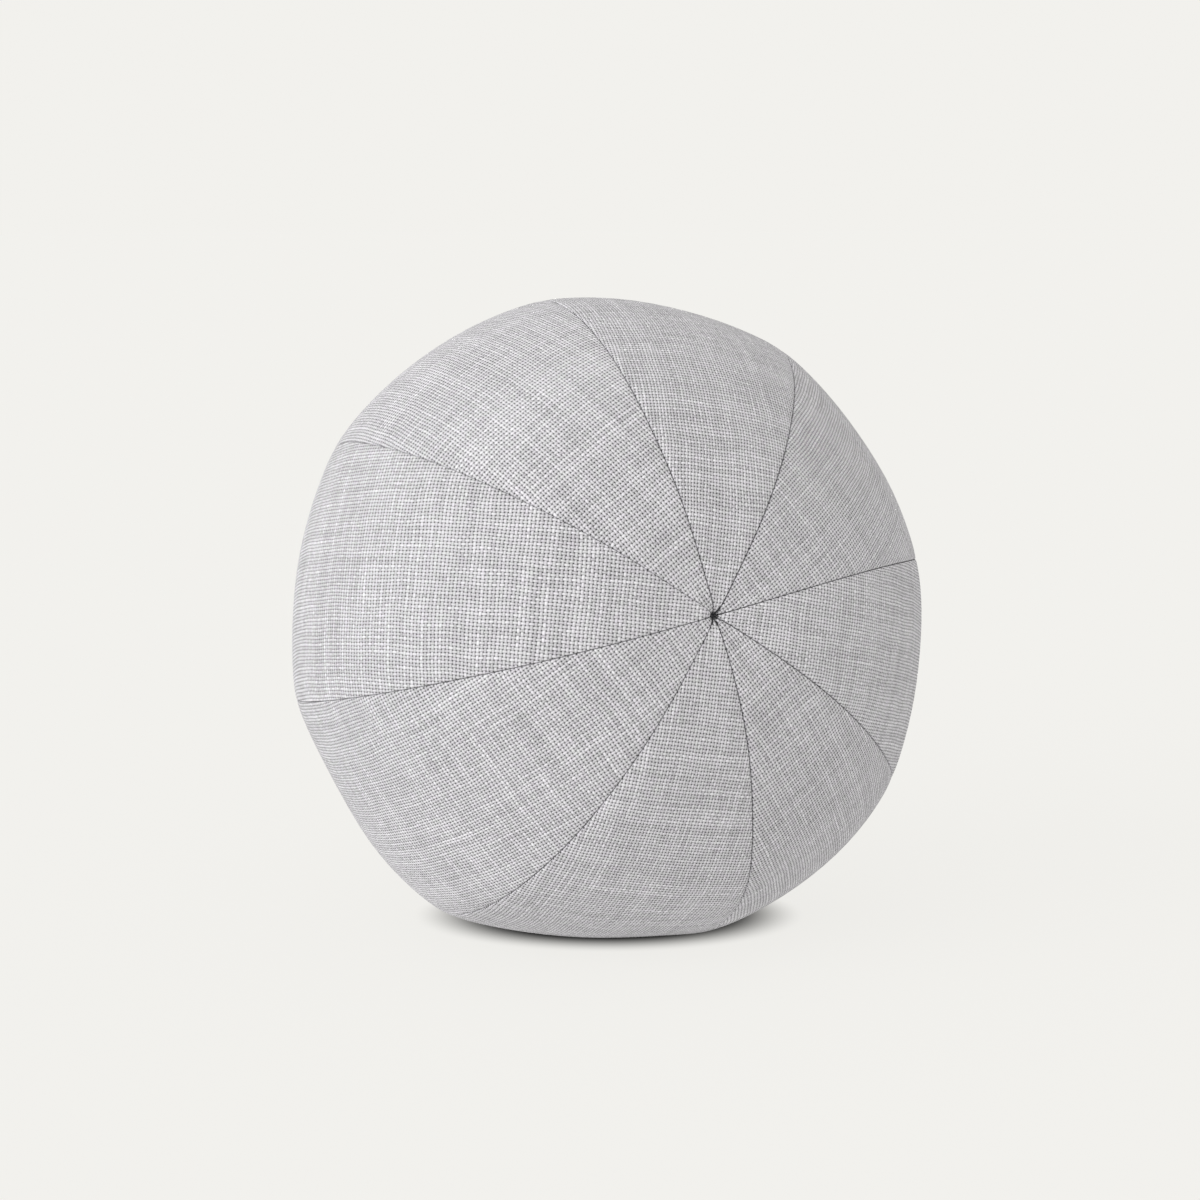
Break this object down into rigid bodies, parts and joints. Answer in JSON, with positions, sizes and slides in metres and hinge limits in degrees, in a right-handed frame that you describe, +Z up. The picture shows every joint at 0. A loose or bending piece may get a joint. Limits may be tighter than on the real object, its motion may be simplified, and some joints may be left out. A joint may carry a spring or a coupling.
{
  "type": "ball cushion",
  "caption": "Round stuffed ball cushion of sewn leaf-shaped panels in light grey melange cloth, drawn in at both poles and resting on a small flat spot.",
  "frame": {"origin": "on the floor, in the flat spot that the ball rests on, straight under the ball's middle", "axes": "+Z up from the floor, -Y towards the viewer's side, where the front pole with its closing stitches looks out and 9 degrees up, +X to the right of that pole"},
  "size_m": [0.3034, 0.2586, 0.2936],
  "materials": {
    "cloth": "matt plain weave of light and mid grey melange yarns",
    "thread": "near-black sewing thread"
  },
  "bodies": {
    "root": {"panel_1": "cloth", "panel_2": "cloth", "panel_3": "cloth", "panel_4": "cloth", "panel_5": "cloth", "panel_6": "cloth", "panel_7": "cloth", "panel_8": "cloth", "closing_stitch_front": "thread", "closing_stitch_back": "thread"}
  },
  "joints": []
}
